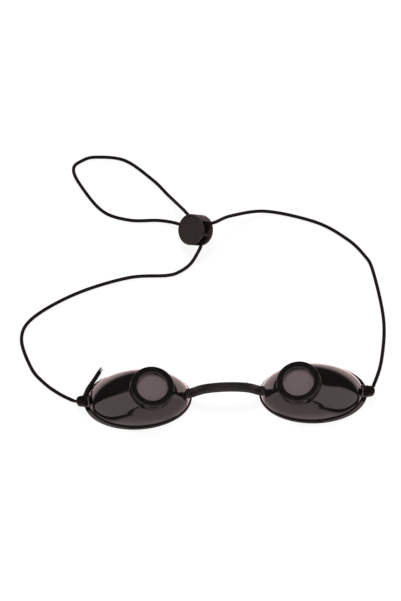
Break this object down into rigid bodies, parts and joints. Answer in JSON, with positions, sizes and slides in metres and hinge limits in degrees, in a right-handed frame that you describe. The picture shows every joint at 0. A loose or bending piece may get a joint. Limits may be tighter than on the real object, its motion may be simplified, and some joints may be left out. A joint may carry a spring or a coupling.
{
  "type": "light therapy goggles",
  "caption": "Domed eye-cup goggles with round filter turrets, a bendable nose bridge and an elastic cord with a press lock.",
  "frame": {"origin": "middle of the nose gap, in the plane of the two rims' undersides", "axes": "+X from the left cup to the right cup as the picture shows them, +Y from the cheeks to the brow, +Z out of the front of the goggles"},
  "size_m": [0.1896, 0.1631, 0.018],
  "materials": {
    "cup_plastic": "moulded, glossy, near black",
    "filter_tint": "polished, grey tint, dark",
    "ring_plastic": "moulded, glossy, black",
    "bridge_plastic": "flexible moulding, satin",
    "cord_braid": "round elastic, braided cover",
    "lock_plastic": "moulded, satin",
    "spring_steel": "drawn wire"
  },
  "bodies": {
    "left_cup": {"left_eye_cup": "cup_plastic", "left_filter_lens": "filter_tint", "left_lens_ring": "ring_plastic", "nose_bridge": "bridge_plastic", "elastic_cord": "cord_braid", "left_cord_knot": "cord_braid", "cord_tail": "cord_braid", "lock_barrel": "lock_plastic", "lock_spring": "spring_steel", "left_cord_end": "cord_braid"},
    "right_cup": {"right_eye_cup": "cup_plastic", "right_filter_lens": "filter_tint", "right_lens_ring": "ring_plastic", "right_cord_knot": "cord_braid", "right_cord_end": "cord_braid"},
    "button": {"lock_button": "lock_plastic"}
  },
  "joints": [
    {"name": "bridge_bend", "type": "hinge", "parent": "left_cup", "child": "right_cup", "pos_m": [0, 0.0003, 0.0114], "axis": [0, 1, 0], "range_deg": [-15, 45], "stiffness_Nm_per_rad": 0.15, "deforming": ["nose_bridge", "elastic_cord"]},
    {"name": "lock_press", "type": "slide", "parent": "left_cup", "child": "button", "axis": [-0.63, -0.321, 0.7071], "range_m": [0, 0.0014], "stiffness_N_per_m": 30, "springref_m": -0.003, "deforming": ["lock_spring"]}
  ]
}
